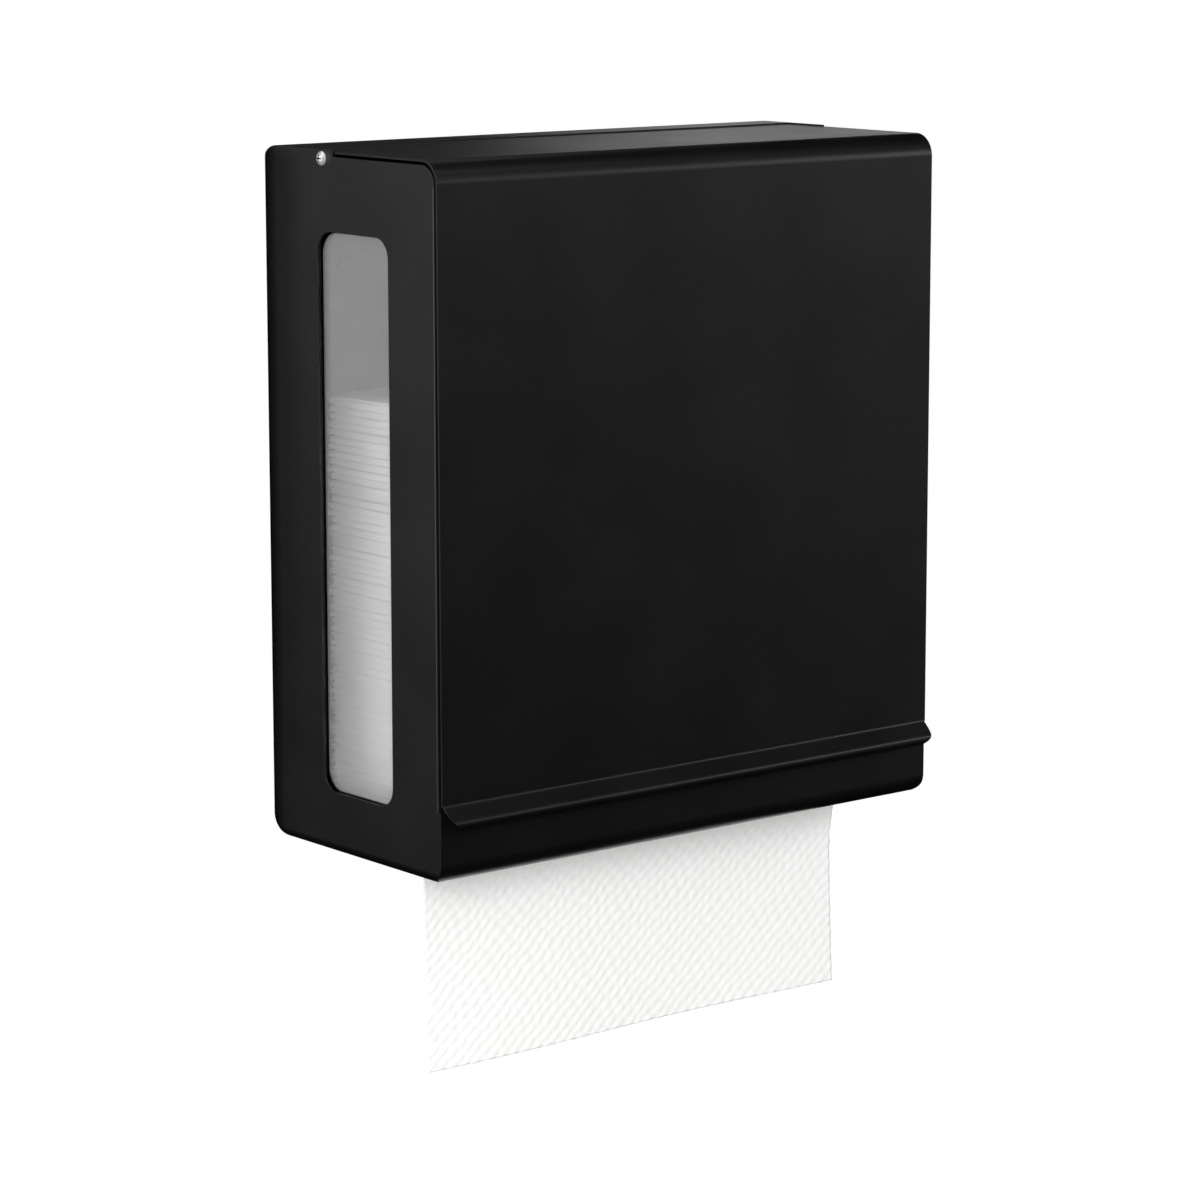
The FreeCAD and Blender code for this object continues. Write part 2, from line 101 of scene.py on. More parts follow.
def seen_directly(tree):
    """1 for the rays of the camera, and for those that leave metal and glass."""
    path = add_node(tree, "ShaderNodeLightPath")
    seen = path.outputs["Is Camera Ray"]
    for ray in ("Is Glossy Ray", "Is Transmission Ray"):
        either = add_node(tree, "ShaderNodeMath", {0: seen, 1: path.outputs[ray]}, operation="MAXIMUM")
        seen = either.outputs[0]
    return seen


def new_material(name):
    """A material with an empty node tree."""
    made = bpy.data.materials.new(name)
    made.use_nodes = True
    made.node_tree.nodes.clear()
    return made


def piece_of(name, form, material):
    """An object made of a finished bmesh, which is freed."""
    mesh = bpy.data.meshes.new(name)
    form.to_mesh(mesh)
    form.free()
    mesh.materials.append(material)
    piece = bpy.data.objects.new(name, mesh)
    bpy.context.scene.collection.objects.link(piece)
    return piece


def softbox(name, place, width, height, radiance, mirrored=True):
    """A rectangular soft lamp of an even brightness, turned to the dispenser. A lamp that isn't
    mirrored lights what is matt and draws no bright line along a folded edge."""
    light = bpy.data.lights.new(name, "AREA")
    light.shape = "RECTANGLE"
    light.size = width
    light.size_y = height
    light.energy = radiance * math.pi * width * height
    lamp = bpy.data.objects.new(name, light)
    lamp.location = place
    lamp.rotation_euler = (LOOK_AT - Vector(place)).to_track_quat("-Z", "Y").to_euler()
    lamp.visible_camera = False
    lamp.visible_glossy = mirrored
    bpy.context.scene.collection.objects.link(lamp)


def flag(name, place, target, width, height):
    """A black card turned to a target, which shows in reflections only. Returns it."""
    form = bmesh.new()
    bmesh.ops.create_grid(form, x_segments=1, y_segments=1, size=0.5)
    turn = (Vector(target) - Vector(place)).to_track_quat("-Z", "Y").to_matrix().to_4x4()
    stand = Matrix.Translation(place) @ turn @ Matrix.Diagonal((width, height, 1.0, 1.0))
    bmesh.ops.transform(form, matrix=stand, verts=form.verts)
    card = piece_of(name, form, flag_black)
    card.visible_camera = False
    card.visible_diffuse = False
    card.visible_transmission = False
    card.visible_shadow = False
    return card


room = bpy.data.worlds.new("white_room")
room.use_nodes = True
room.node_tree.nodes.clear()
room_shown = add_node(room.node_tree, "ShaderNodeBackground", {"Color": grey(1.0), "Strength": 1.0})
room_light = add_node(room.node_tree, "ShaderNodeBackground", {"Color": grey(1.0), "Strength": ROOM_FILL})
room_mix = add_node(room.node_tree, "ShaderNodeMixShader",
                    {0: seen_directly(room.node_tree), 1: room_light.outputs[0], 2: room_shown.outputs[0]})
add_node(room.node_tree, "ShaderNodeOutputWorld", {"Surface": room_mix.outputs[0]})
bpy.context.scene.world = room

floor_paint = new_material("pale_floor")
paint_tree = floor_paint.node_tree
painted = add_node(paint_tree, "ShaderNodeBsdfDiffuse", {"Color": grey(FLOOR_SHADE)})
glow = add_node(paint_tree, "ShaderNodeEmission", {"Color": grey(1.0), "Strength": FLOOR_GLOW})
lit = add_node(paint_tree, "ShaderNodeAddShader", {0: painted.outputs[0], 1: glow.outputs[0]})
floor_mix = add_node(paint_tree, "ShaderNodeMixShader",
                     {0: seen_directly(paint_tree), 1: painted.outputs[0], 2: lit.outputs[0]})
add_node(paint_tree, "ShaderNodeOutputMaterial", {"Surface": floor_mix.outputs[0]})
floor_form = bmesh.new()
bmesh.ops.create_grid(floor_form, x_segments=1, y_segments=1, size=FLOOR_HALF)
bmesh.ops.translate(floor_form, verts=floor_form.verts, vec=(0, 0, FLOOR_Z))
piece_of("floor", floor_form, floor_paint)

flag_black = new_material("flag_black")
black_cloth = add_node(flag_black.node_tree, "ShaderNodeBsdfDiffuse", {"Color": grey(0.0)})
add_node(flag_black.node_tree, "ShaderNodeOutputMaterial", {"Surface": black_cloth.outputs[0]})

softbox("key", (-0.8, -1.95, 0.45), width=0.8, height=1.5, radiance=1.5, mirrored=False)
softbox("left", (-1.4, -1.3, 0.35), width=0.8, height=0.8, radiance=11.8, mirrored=False)
softbox("low_left", (-1.0, -1.6, -0.7), width=1.2, height=0.8, radiance=2.2, mirrored=False)
softbox("behind_left", (-1.7, 0.6, 0.0), width=0.5, height=0.8, radiance=8.4)
softbox("behind_left_high", (-1.3, 1.2, 0.5), width=0.5, height=0.5, radiance=6.0)
softbox("front_right", (1.7, -1.15, 0.45), width=0.8, height=1.1, radiance=3.1)
softbox("right", (1.7, -0.8, 0.9), width=0.8, height=0.8, radiance=0.8)
softbox("hair", (0.6, 1.2, 0.7), width=0.8, height=0.5, radiance=0.25)
flag("flag_behind_low", (0.0, 0.5, -0.9), (0.0, 0.0, -0.9), width=5.0, height=2.1)
flag("flag_right_high", (0.75, 0.68, 0.7), LOOK_AT, width=1.0, height=0.7)
flag("flag_below", (0.0, 0.2, -0.75), (0.0, 0.2, 0.0), width=3.2, height=3.2)
flag("flag_front_right", (0.5, -1.1, -0.5), (0.0, -0.1, -0.2), width=2.0, height=1.6)
flag("flag_left_front", (-1.7, -1.7, 0.1), LOOK_AT, width=2.6, height=2.6)
flag("flag_right_up", (0.74, -0.13, 0.92), LOOK_AT, width=1.05, height=1.4)
flag("flag_front_high", (0.8, -0.95, 0.75), LOOK_AT, width=1.5, height=0.7)
# The right edge of this one leans to the left, so that the lid darkens slowly to the left.
lid_card = flag("flag_behind_high", LID_CARD_MIDDLE, LID_CARD_MIDDLE - Vector((0, 1, 0)),
                width=LID_CARD_WIDTH, height=LID_CARD_HEIGHT)
for corner in lid_card.data.vertices:
    if corner.co.x > LID_CARD_MIDDLE.x and corner.co.z > LID_CARD_MIDDLE.z:
        corner.co.x -= LID_CARD_LEAN
# A narrow card along the rear left corner shades its rounding from the lamps behind.
edge_card = flag("flag_left_edge", (-0.152, 0.003, 0.0), (-0.152, -1.0, 0.0), width=0.026, height=0.31)
edge_card.visible_shadow = True
# This black card, seen only through the panes, stands where the wall would be: painted shade,
# so that the screw holes look dark through them.
hole_shade_card = flag("flag_hole_shade", (0.0, 0.004, 0.0), (0.0, -1.0, 0.0), width=0.24, height=0.26)
hole_shade_card.visible_transmission = True
hole_shade_card.visible_glossy = False

# ---- Housing: folded steel, powder-coated black -----------------------------------------------
# The rear and side walls, the fixed strip at the rear of the top and the low front wall are
# folded from 1 mm steel sheet, welded together and baked in a matte black powder. The coat
# has a fine dry grain and draws back a little from every cut edge, which it rounds.
MM = 0.001
EDGE_EASE = 0.1 * MM
EASE_SEGMENTS = 3
MERGE_WITHIN = 0.0005 * MM
FLAT_DEGREES = 0.5
SHARP_DEGREES = 45.0
CUSP_DEGREES = 10.0
CREASE_DEGREES = 40.0
COAT_DARK = (0.0019, 0.0019, 0.002, 1.0)
COAT_LIGHT = (0.0034, 0.0034, 0.0036, 1.0)
CLOUD_SHARE = 0.6
NOISE_LOW = 0.3
NOISE_HIGH = 0.7


def group_tree(name, inputs, outputs):
    """A shader group with named sockets; returns the tree and its two ends."""
    tree = bpy.data.node_groups.new(name, "ShaderNodeTree")
    for label, kind, value in inputs:
        socket = tree.interface.new_socket(label, in_out="INPUT", socket_type=kind)
        socket.default_value = value
    for label, kind in outputs:
        tree.interface.new_socket(label, in_out="OUTPUT", socket_type=kind)
    return tree, tree.nodes.new("NodeGroupInput"), tree.nodes.new("NodeGroupOutput")


# Two sizes of noise on the piece itself: the fine grain of a coat, casting or cut, and the
# slow clouding of a sprayed, plated or pressed face.
grain, grain_in, grain_out = group_tree(
    "grain_and_clouding",
    [("Grain Size", "NodeSocketFloat", 0.4 * MM), ("Cloud Size", "NodeSocketFloat", 40 * MM),
     ("Dark", "NodeSocketColor", grey(0.0)), ("Light", "NodeSocketColor", grey(1.0)),
     ("Roughness Low", "NodeSocketFloat", 0.4), ("Roughness High", "NodeSocketFloat", 0.5)],
    [("Color", "NodeSocketColor"), ("Roughness", "NodeSocketFloat"), ("Height", "NodeSocketFloat")])
grain_place = add_node(grain, "ShaderNodeTexCoord")
grain_per_metre = add_node(grain, "ShaderNodeMath",
                           {0: 1.0, 1: grain_in.outputs["Grain Size"]}, operation="DIVIDE")
cloud_per_metre = add_node(grain, "ShaderNodeMath",
                           {0: 1.0, 1: grain_in.outputs["Cloud Size"]}, operation="DIVIDE")
fine = add_node(grain, "ShaderNodeTexNoise",
                {"Vector": grain_place.outputs["Object"], "Scale": grain_per_metre.outputs[0],
                 "Detail": 2.0})
cloud = add_node(grain, "ShaderNodeTexNoise",
                 {"Vector": grain_place.outputs["Object"], "Scale": cloud_per_metre.outputs[0],
                  "Detail": 3.0})
both = add_node(grain, "ShaderNodeMix",
                {0: CLOUD_SHARE, 2: fine.outputs["Fac"], 3: cloud.outputs["Fac"]}, data_type="FLOAT")
tint = add_node(grain, "ShaderNodeMix",
                {0: both.outputs[0], 6: grain_in.outputs["Dark"], 7: grain_in.outputs["Light"]},
                data_type="RGBA")
rough = add_node(grain, "ShaderNodeMapRange",
                 {"Value": both.outputs[0], "From Min": NOISE_LOW, "From Max": NOISE_HIGH,
                  "To Min": grain_in.outputs["Roughness Low"],
                  "To Max": grain_in.outputs["Roughness High"]})
grain.links.new(tint.outputs[2], grain_out.inputs["Color"])
grain.links.new(rough.outputs[0], grain_out.inputs["Roughness"])
grain.links.new(fine.outputs["Fac"], grain_out.inputs["Height"])


def grained(name, grain_size, cloud_size, dark, light, smoothest, roughest, bump, **fixed):
    """A Principled material with the grain group in its colour, roughness and bump. Its other
    sockets, such as Metallic, keep a fixed value each."""
    made = new_material(name)
    tree = made.node_tree
    texture = add_node(tree, "ShaderNodeGroup", node_tree=grain)
    settings = {"Grain Size": grain_size, "Cloud Size": cloud_size, "Dark": dark, "Light": light,
                "Roughness Low": smoothest, "Roughness High": roughest}
    for label, value in settings.items():
        texture.inputs[label].default_value = value
    relief = add_node(tree, "ShaderNodeBump",
                      {"Strength": 1.0, "Distance": bump, "Height": texture.outputs["Height"]})
    surface = add_node(tree, "ShaderNodeBsdfPrincipled",
                       {"Base Color": texture.outputs["Color"], "Roughness": texture.outputs["Roughness"],
                        "Normal": relief.outputs[0], **fixed})
    add_node(tree, "ShaderNodeOutputMaterial", {"Surface": surface.outputs[0]})
    return made


def eased(name, node, body, material, ease):
    """A CAD solid's own form, merged, with each sharp edge eased and its flats kept flat. Two
    edges that run together in a cusp stay sharp, because neither has room to be eased."""
    form = bmesh.new()
    form.from_mesh(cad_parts[node].data)
    bmesh.ops.remove_doubles(form, verts=form.verts, dist=MERGE_WITHIN)
    bmesh.ops.dissolve_limit(form, angle_limit=math.radians(FLAT_DEGREES), verts=form.verts, edges=form.edges)
    sharp = {edge for edge in form.edges if edge.calc_face_angle(0.0) > math.radians(SHARP_DEGREES)}
    cusps = set()
    for face in form.faces:
        for loop in face.loops:
            pair = {loop.edge, loop.link_loop_prev.edge}
            if pair <= sharp and loop.calc_angle() < math.radians(CUSP_DEGREES):
                cusps |= pair
    eased_edges = [edge for edge in form.edges if edge in sharp and edge not in cusps]
    bmesh.ops.bevel(form, geom=eased_edges, offset=ease, segments=EASE_SEGMENTS, profile=0.5,
                    affect="EDGES", clamp_overlap=False, material=-1)
    low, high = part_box(node)
    for vert in form.verts:
        vert.co = [min(max(vert.co[axis], low[axis]), high[axis]) for axis in range(3)]
    for face in form.faces:
        face.smooth = True
    form.normal_update()
    piece = piece_of(name, form, material)
    piece.data.set_sharp_from_angle(angle=math.radians(CREASE_DEGREES))
    weighted = piece.modifiers.new("weighted_normals", "WEIGHTED_NORMAL")
    weighted.mode = "FACE_AREA"
    weighted.keep_sharp = True
    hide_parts(node)
    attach(piece, body)


powder_coat = grained("black_powder_coat", grain_size=0.35 * MM, cloud_size=45 * MM, dark=COAT_DARK,
                      light=COAT_LIGHT, smoothest=0.32, roughest=0.38, bump=0.004 * MM,
                      **{"Specular IOR Level": 0.5})
for node in ("housing_shell", "top_rear_rail", "lower_front_rail"):
    eased("coated_" + node, node, "housing", powder_coat, EDGE_EASE)

# ---- Pane channels and tabs -------------------------------------------------------------------
# Each pane slides down between two folded channels, spot-welded inside the side wall and
# coated with it, and stands on a bent tab of bare zinc-plated steel.
SIDES = ("left", "right")
CHANNEL_EASE = 0.15 * MM
ZINC_DARK = (0.42, 0.43, 0.45, 1.0)
ZINC_LIGHT = (0.6, 0.6, 0.59, 1.0)
zinc = grained("zinc_plate", grain_size=0.5 * MM, cloud_size=9 * MM, dark=ZINC_DARK, light=ZINC_LIGHT,
               smoothest=0.3, roughest=0.45, bump=0.003 * MM, Metallic=1.0)
for side in SIDES:
    for end in ("front", "rear"):
        node = "pane_channel_" + side + "_" + end
        eased("coated_" + node, node, "housing", powder_coat, CHANNEL_EASE)
    eased("plated_pane_clip_" + side, "pane_clip_" + side, "housing", zinc, CHANNEL_EASE)

# ---- Frosted panes ----------------------------------------------------------------------------
# Two millimetre acrylic with broken edges, satin on both faces: what is near shows through as
# through a haze, and the empty bay above the towels as an even grey. The rim of each pane is
# painted near-black to just inside the window: painted shade, standing in for the shadow in the
# gap behind the window's cut edge.
PANE_EASE = 0.25 * MM
CLEAR_Y = -68.1 * MM
CLEAR_Z = -2.3 * MM
CLEAR_DEPTH = 51.0 * MM
CLEAR_HEIGHT = 240.2 * MM
CLEAR_CORNER = 9.5 * MM
RIM_BLEND = 0.1 * MM
# The near-black of the pane's painted-shade rim.
PANE_RIM_PAINTED_SHADE = 0.003


def shade_painted_over(material, mask, shade):
    """Lays a plain grey over a grained finish where the mask is 1, as painted shade."""
    tree = material.node_tree
    surface = next(node for node in tree.nodes if node.type == "BSDF_PRINCIPLED")
    beneath = surface.inputs["Base Color"].links[0].from_socket
    covered = add_node(tree, "ShaderNodeMix", {0: mask, 6: beneath, 7: grey(shade)}, data_type="RGBA")
    tree.links.new(covered.outputs[2], surface.inputs["Base Color"])


frosted = grained("frosted_acrylic", grain_size=0.25 * MM, cloud_size=30 * MM, dark=grey(0.89),
                  light=grey(0.94), smoothest=0.06, roughest=0.09, bump=0.002 * MM,
                  **{"Transmission Weight": 0.87, "IOR": 1.49})
# How far a place lies outside the rounded clear field: its distance from the field's core,
# which is a corner's radius smaller all round. Along X the core has no end.
pane_tree = frosted.node_tree
pane_place = add_node(pane_tree, "ShaderNodeTexCoord")
from_middle = add_node(pane_tree, "ShaderNodeVectorMath",
                       {0: pane_place.outputs["Object"], 1: (0.0, CLEAR_Y, CLEAR_Z)}, operation="SUBTRACT")
either_way = add_node(pane_tree, "ShaderNodeVectorMath", {0: from_middle.outputs[0]}, operation="ABSOLUTE")
core_half = (1.0, CLEAR_DEPTH / 2 - CLEAR_CORNER, CLEAR_HEIGHT / 2 - CLEAR_CORNER)
beyond = add_node(pane_tree, "ShaderNodeVectorMath", {0: either_way.outputs[0], 1: core_half},
                  operation="SUBTRACT")
outside = add_node(pane_tree, "ShaderNodeVectorMath", {0: beyond.outputs[0], 1: (0.0, 0.0, 0.0)},
                   operation="MAXIMUM")
from_core = add_node(pane_tree, "ShaderNodeVectorMath", {0: outside.outputs[0]}, operation="LENGTH")
# Painted shade: the rim outside the clear field is made near-black.
painted_shade_rim = add_node(pane_tree, "ShaderNodeMapRange",
               {"Value": from_core.outputs["Value"], "From Min": CLEAR_CORNER,
                "From Max": CLEAR_CORNER + RIM_BLEND})
shade_painted_over(frosted, painted_shade_rim.outputs[0], PANE_RIM_PAINTED_SHADE)
for side in SIDES:
    eased("satin_pane_" + side, "window_pane_" + side, "housing", frosted, PANE_EASE)

# ---- Bumper pads ------------------------------------------------------------------------------
# Two self-adhesive pads of soft black rubber on the side walls' front flanges, on which the
# cover closes without a sound.
PAD_EASE = 0.3 * MM
rubber = grained("black_rubber", grain_size=0.4 * MM, cloud_size=4 * MM, dark=grey(0.014),
                 light=grey(0.024), smoothest=0.7, roughest=0.8, bump=0.006 * MM)
eased("rubber_pads", "cover_bumpers", "housing", rubber, PAD_EASE)

# ---- Folded towels in the stack ---------------------------------------------------------------
# Soft paper towels lie on one another, each pressed in three plies that are folded at the
# front and at the back. They are cut by a guillotine and stand a little out of line, and the
# top one shows its embossing. The stack is drawn as sixty towels, thicker than single ones.
TOWELS = 60
TOWEL_WIDTH = 235.0 * MM
STACK_FRONT = -93.2 * MM
STACK_REAR = -19.8 * MM
STACK_BOTTOM = -144.7 * MM
STACK_HEIGHT = 189.2 * MM
PRESSED_BELOW = 0.05
PLY = 0.7 * MM
PLY_PITCH = 0.86 * MM
RUN_STEPS = 10
FOLD_STEPS = 5
TOWEL_COLUMNS = 10
# How the stack sags, how far a towel lies out of line, and how its plies' edges wander.
SAG = 0.7 * MM
SAG_ACROSS = 80 * MM
SAG_DEEP = 55 * MM
SAG_CHANGE = 1.6
OUT_SIDEWAYS = 0.7
OUT_FORWARD = 0.8
TURNED_UP_TO = 0.004
TILTED_UP_TO = 0.008
CUT_WAVE = 0.25 * MM
CUT_WAVE_LENGTH = 20 * MM
CUT_CHANGE = 900
# The embossing: slanting ridges, the breaks across them, and how broad and deep they are.
RIDGE_ACROSS = 6.7 * MM
RIDGE_DOWN = 5.4 * MM
RIDGE_WANDER = 0.3
WANDER_PER_METRE = 90
RIDGES_DIFFER = 3.7
BREAK_ACROSS = 10.0 * MM
BREAK_DOWN = 9.0 * MM
BREAK_STAGGER = 0.9
STAGGER_PER_METRE = 25
CREST_BREADTH = 0.7
PILLOW_BREADTH = 0.5
GAP_HEIGHT = 0.25
RELIEF = 0.5 * MM
# The top sheet, which is pressed flatter and rolls down at its rear.
TOP_COLUMNS = 214
TOP_ROWS = 66
TOP_ROLL = 1.2 * MM
TOP_ROLL_DROP = 1.0 * MM
TOP_RELIEF = RELIEF * 0.6
TISSUE_DARK = (0.9, 0.9, 0.89, 1.0)
TISSUE_LIGHT = (0.95, 0.95, 0.945, 1.0)
tissue = grained("tissue", grain_size=0.5 * MM, cloud_size=12 * MM, dark=TISSUE_DARK,
                 light=TISSUE_LIGHT, smoothest=0.9, roughest=0.98, bump=0.04 * MM,
                 **{"Specular IOR Level": 0.1})


def laid_grid(form, columns, rows, place):
    """A grid whose two directions, each 0 to 1, are put in space by a function."""
    made = bmesh.ops.create_grid(form, x_segments=columns, y_segments=rows, size=0.5)
    for vert in made["verts"]:
        vert.co = place(vert.co.x + 0.5, vert.co.y + 0.5)


def paper_piece(name, form, thickness):
    """A paper sheet of an even thickness about the form, smooth over its faces."""
    for face in form.faces:
        face.smooth = True
    sheet = piece_of(name, form, tissue)
    thick = sheet.modifiers.new("paper_thickness", "SOLIDIFY")
    thick.thickness = thickness
    thick.offset = 0.0
    return sheet


def embossing(across, up):
    """The height of the embossing at a place on the paper, 0 to 1: slanting ridges that are
    broken into pillows, each ridge at places of its own."""
    wander = RIDGE_WANDER * noise.noise(Vector((across, up, 0)) * WANDER_PER_METRE)
    ridge = across / RIDGE_ACROSS - up / RIDGE_DOWN + wander
    this_ridge = math.floor(ridge + 0.5) * RIDGES_DIFFER
    stagger = BREAK_STAGGER * noise.noise(Vector((this_ridge, up * STAGGER_PER_METRE, 0)))
    pillow = across / BREAK_ACROSS + up / BREAK_DOWN + stagger
    crest = 0.5 + 0.5 * math.cos(2 * math.pi * ridge)
    swell = 0.5 + 0.5 * math.cos(2 * math.pi * pillow)
    return crest ** CREST_BREADTH * (GAP_HEIGHT + (1 - GAP_HEIGHT) * swell ** PILLOW_BREADTH)


def along(points, share):
    """The point a share of the way along a list of points, with each step counted alike."""
    step = share * (len(points) - 1)
    first = min(int(step), len(points) - 2)
    return points[first].lerp(points[first + 1], step - first)


def towel_path():
    """One towel seen from its end: three runs joined by two round folds."""
    bend = PLY_PITCH / 2
    front = STACK_FRONT + PLY / 2 + bend
    rear = STACK_REAR - PLY / 2 - bend
    half_turn = [math.pi * step / FOLD_STEPS for step in range(FOLD_STEPS + 1)]
    points = [Vector((front - bend + (rear - front + bend) * step / RUN_STEPS, bend))
              for step in range(RUN_STEPS)]
    points += [Vector((rear + bend * math.sin(turn), 2 * bend - bend * math.cos(turn)))
               for turn in half_turn]
    points += [Vector((rear + (front - rear) * step / RUN_STEPS, 3 * bend))
               for step in range(1, RUN_STEPS)]
    points += [Vector((front - bend * math.sin(turn), 4 * bend - bend * math.cos(turn)))
               for turn in half_turn]
    points += [Vector((front + (rear - front + bend) * step / RUN_STEPS, 5 * bend))
               for step in range(1, RUN_STEPS + 1)]
    return points


def lie(x, y, level):
    """How far the stack sags or swells at a place. The level is 0 at its foot and 1 on top."""
    return SAG * noise.noise(Vector((x / SAG_ACROSS, y / SAG_DEEP, level * SAG_CHANGE)))


chance = random.Random(7)
stack_form = bmesh.new()
path = towel_path()
for count in range(TOWELS):
    # Under the weight of the others, the lower towels lie closer together.
    level = (count / TOWELS) * (1 - PRESSED_BELOW + PRESSED_BELOW * count / TOWELS)
    base = STACK_BOTTOM + level * STACK_HEIGHT
    sideways = chance.uniform(-OUT_SIDEWAYS, OUT_SIDEWAYS)
    forward = chance.uniform(-OUT_FORWARD, OUT_FORWARD)
    shift = Vector((sideways, forward, 0)) * MM
    turn = chance.uniform(-TURNED_UP_TO, TURNED_UP_TO)
    tilt = chance.uniform(-TILTED_UP_TO, TILTED_UP_TO)
    turned = count % 2 == 1

    def folded(across, share):
        """A place on this towel, which faces the other way from the one below it."""
        flat = along(path, share)
        x = (across - 0.5) * TOWEL_WIDTH
        y = STACK_FRONT + STACK_REAR - flat.x if turned else flat.x
        y += CUT_WAVE * noise.noise(Vector((x / CUT_WAVE_LENGTH, flat.y * CUT_CHANGE, count)))
        z = flat.y + base + lie(x, y, level) + tilt * (y - STACK_REAR)
        return Vector((x, y + turn * x, z)) + shift

    laid_grid(stack_form, TOWEL_COLUMNS, len(path) - 1, folded)


def top_ply(across, share):
    """The uppermost sheet, which lies on the last towel and rolls down at its rear fold."""
    x = (across - 0.5) * TOWEL_WIDTH
    y = STACK_FRONT + share * (STACK_REAR - STACK_FRONT)
    roll = max(0.0, 1 - (STACK_REAR - y) / TOP_ROLL)
    height = STACK_HEIGHT + PLY / 2 - TOP_ROLL_DROP * roll * roll
    return Vector((x, y, STACK_BOTTOM + height + lie(x, y, 1.0) + TOP_RELIEF * (embossing(x, y) - 0.5)))


laid_grid(stack_form, TOP_COLUMNS, TOP_ROWS, top_ply)
stack = paper_piece("folded_towels", stack_form, PLY)
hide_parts("towel_stack")
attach(stack, "housing")

# ---- Towel that hangs from the slot -----------------------------------------------------------
# The lowest towel lies under the stack and across the slot, and its front part falls limp
# through the slot. It is one soft ply, cut a little wavy, and embossed half a millimetre
# deep. The slot presses it smooth and draws its right edge out a little.
HANG_BOTTOM = -243.0 * MM
HANG_TURN = -147.0 * MM
HANG_Y = -85.4 * MM
HANG_LEFT = -118.7 * MM
HANG_PAPER = 0.25 * MM
HANG_COLUMNS = 275
HANG_ROWS = 120
TUCK_BEND = 1.5 * MM
TUCK = 59.0 * MM
TUCK_ROWS = 44
TUCK_RELIEF = 0.15 * MM
SMOOTH_TOP = 30.0 * MM
SWAY = 1.6 * MM
SWAY_LENGTH = 34 * MM
SWAY_START = 0.8
FOOT_FORWARD = 2.0 * MM
DRAWN_OUT = 2.6 * MM
DRAWN_TO = 26.0 * MM
DRAWN_SHARPLY = 12
SIDE_EDGE_FROM = 0.4999
SIDE_WAVE = 0.35 * MM
SIDE_WAVE_LENGTH = 4 * MM
SIDES_DIFFER = 40
FOOT_WAVE = 0.3 * MM
FOOT_WAVE_LENGTH = 3 * MM
drop = HANG_TURN - HANG_BOTTOM
hang_length = drop + TUCK_BEND * math.pi / 2


def hung(across, share):
    """A place on the hanging towel. The share runs from its bottom edge to its tucked end."""
    row = share * (HANG_ROWS + TUCK_ROWS)
    if row <= HANG_ROWS:
        run = row / HANG_ROWS * hang_length
    else:
        run = hang_length + (row - HANG_ROWS) / TUCK_ROWS * TUCK
    x = HANG_LEFT + across * TOWEL_WIDTH
    relief = TUCK_RELIEF + (RELIEF - TUCK_RELIEF) * min(1.0, max(0.0, drop - run) / SMOOTH_TOP)
    if run < drop:
        flat = Vector((x, HANG_Y, HANG_BOTTOM + run))
        out = Vector((0, -1, 0))
    elif run < hang_length:
        turn = (run - drop) / TUCK_BEND
        flat = Vector((x, HANG_Y + TUCK_BEND * (1 - math.cos(turn)),
                       HANG_TURN + TUCK_BEND * math.sin(turn)))
        out = Vector((0, -math.cos(turn), math.sin(turn)))
    else:
        flat = Vector((x, HANG_Y + TUCK_BEND + run - hang_length, HANG_TURN + TUCK_BEND))
        out = Vector((0, 0, 1))
    free = max(0.0, 1 - run / drop)
    flat.y += free * SWAY * math.sin(x / SWAY_LENGTH + SWAY_START) - free * free * FOOT_FORWARD
    drawn = min(1.0, max(0.0, (DRAWN_TO - drop + run) / (DRAWN_TO / 2)))
    flat.x += DRAWN_OUT * across ** DRAWN_SHARPLY * drawn
    # Only the cut edges themselves are wavy.
    if abs(across - 0.5) > SIDE_EDGE_FROM:
        flat.x += SIDE_WAVE * noise.noise(Vector((across * SIDES_DIFFER, run / SIDE_WAVE_LENGTH, 0)))
    if share == 0:
        flat.z += FOOT_WAVE * noise.noise(Vector((x / FOOT_WAVE_LENGTH, 0, 0)))
    return flat + out * relief * (embossing(x, run) - 0.5)


hang_form = bmesh.new()
laid_grid(hang_form, HANG_COLUMNS, HANG_ROWS + TUCK_ROWS, hung)
hanging = paper_piece("embossed_hanging_towel", hang_form, HANG_PAPER)
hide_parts("hanging_towel")
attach(hanging, "housing")

# ---- Cover ------------------------------------------------------------------------------------
# Lid, front bend, front panel and finger lip are one sheet of 1 mm steel, folded and coated
# like the housing. It flips up about the screws below, and closes by its weight.
eased("coated_front_cover", "front_cover", "cover", powder_coat, EDGE_EASE)

# ---- Hinge: lugs, pivot screws and washers ----------------------------------------------------
# A small zinc-plated block under each end of the lid is tapped for a bright plated pan-head
# screw, on which the cover turns in the side wall, with a nylon washer between the two. The
# screw's cross recess is painted dark: painted shade, where the recess lies in shadow.
RECESS_FROM = 139.5 * MM
RECESS_MOUTH = 140.7 * MM
RECESS_RADIUS = 1.75 * MM
RECESS_BLEND = 0.2 * MM
# The near-black of the painted shade in the screw's recess.
RECESS_PAINTED_SHADE = 0.02
PIVOT_Y = -45.7 * MM
PIVOT_Z = 148.9 * MM
LUG_EASE = 0.2 * MM
SCREW_EASE = 0.08 * MM
WASHER_EASE = 0.1 * MM
BRIGHT_DARK = (0.8, 0.8, 0.79, 1.0)
BRIGHT_LIGHT = (0.9, 0.9, 0.89, 1.0)
NYLON_DARK = (0.76, 0.75, 0.71, 1.0)
NYLON_LIGHT = (0.84, 0.83, 0.8, 1.0)
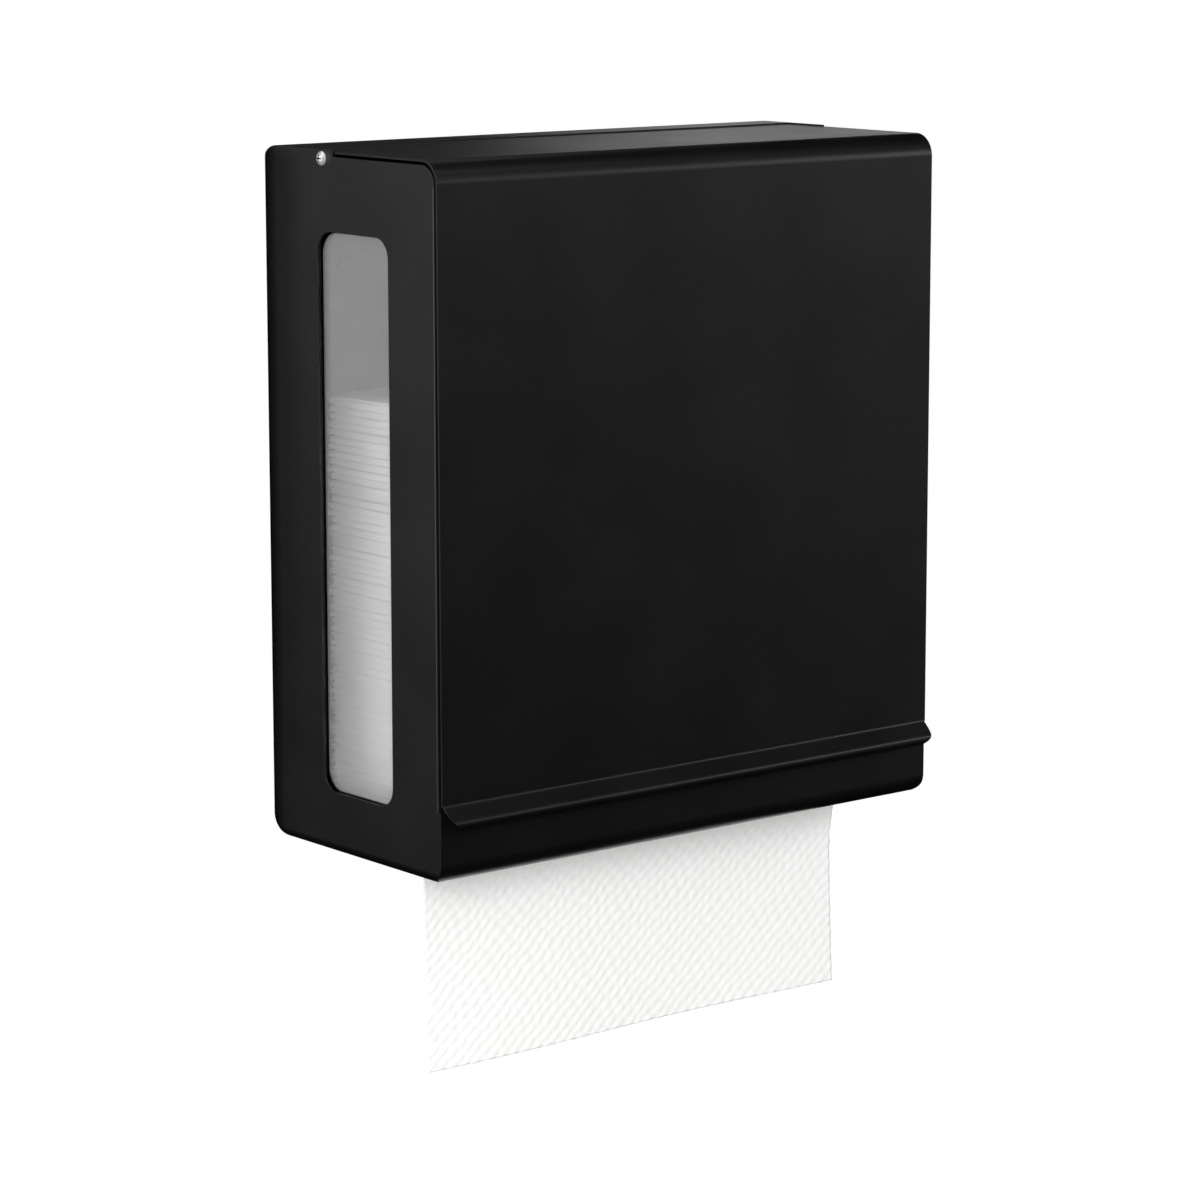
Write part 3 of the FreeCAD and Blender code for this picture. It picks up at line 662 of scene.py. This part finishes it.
bright = grained("bright_plate", grain_size=0.6 * MM, cloud_size=3 * MM, dark=BRIGHT_DARK,
                 light=BRIGHT_LIGHT, smoothest=0.3, roughest=0.36, bump=0.001 * MM, Metallic=0.7)
bright_tree = bright.node_tree


def combined(operation, first, second):
    """Two of the bright material's values joined by a Math node. Returns its output."""
    return add_node(bright_tree, "ShaderNodeMath", {0: first, 1: second}, operation=operation).outputs[0]


# The painted shade fills a short core about the pivot's axis, from the recess's floor in the head to its
# mouth.
place = add_node(bright_tree, "ShaderNodeTexCoord")
parts = add_node(bright_tree, "ShaderNodeSeparateXYZ", {0: place.outputs["Object"]})
outward = add_node(bright_tree, "ShaderNodeMath", {0: parts.outputs["X"]}, operation="ABSOLUTE").outputs[0]
off_axis = add_node(bright_tree, "ShaderNodeCombineXYZ",
                    {0: combined("SUBTRACT", parts.outputs["Y"], PIVOT_Y),
                     1: combined("SUBTRACT", parts.outputs["Z"], PIVOT_Z)})
radius = add_node(bright_tree, "ShaderNodeVectorMath", {0: off_axis.outputs[0]}, operation="LENGTH")
within = combined("LESS_THAN", radius.outputs["Value"], RECESS_RADIUS)
in_head = combined("GREATER_THAN", outward, RECESS_FROM)
below_mouth = add_node(bright_tree, "ShaderNodeMapRange",
                       {"Value": outward, "From Min": RECESS_MOUTH, "From Max": RECESS_MOUTH + RECESS_BLEND,
                        "To Min": 1.0, "To Max": 0.0})
head_core = combined("MULTIPLY", within, in_head)
# Painted shade: the recess is laid over with near-black.
shade_painted_over(bright, combined("MULTIPLY", head_core, below_mouth.outputs[0]), RECESS_PAINTED_SHADE)

nylon = grained("white_nylon", grain_size=0.4 * MM, cloud_size=4 * MM, dark=NYLON_DARK,
                light=NYLON_LIGHT, smoothest=0.38, roughest=0.46, bump=0.003 * MM)
for side in SIDES:
    eased("plated_hinge_lug_" + side, "hinge_lug_" + side, "cover", zinc, LUG_EASE)
    eased("bright_pivot_screw_" + side, "pivot_screw_" + side, "cover", bright, SCREW_EASE)
    eased("nylon_washer_" + side, "pivot_washer_" + side, "cover", nylon, WASHER_EASE)
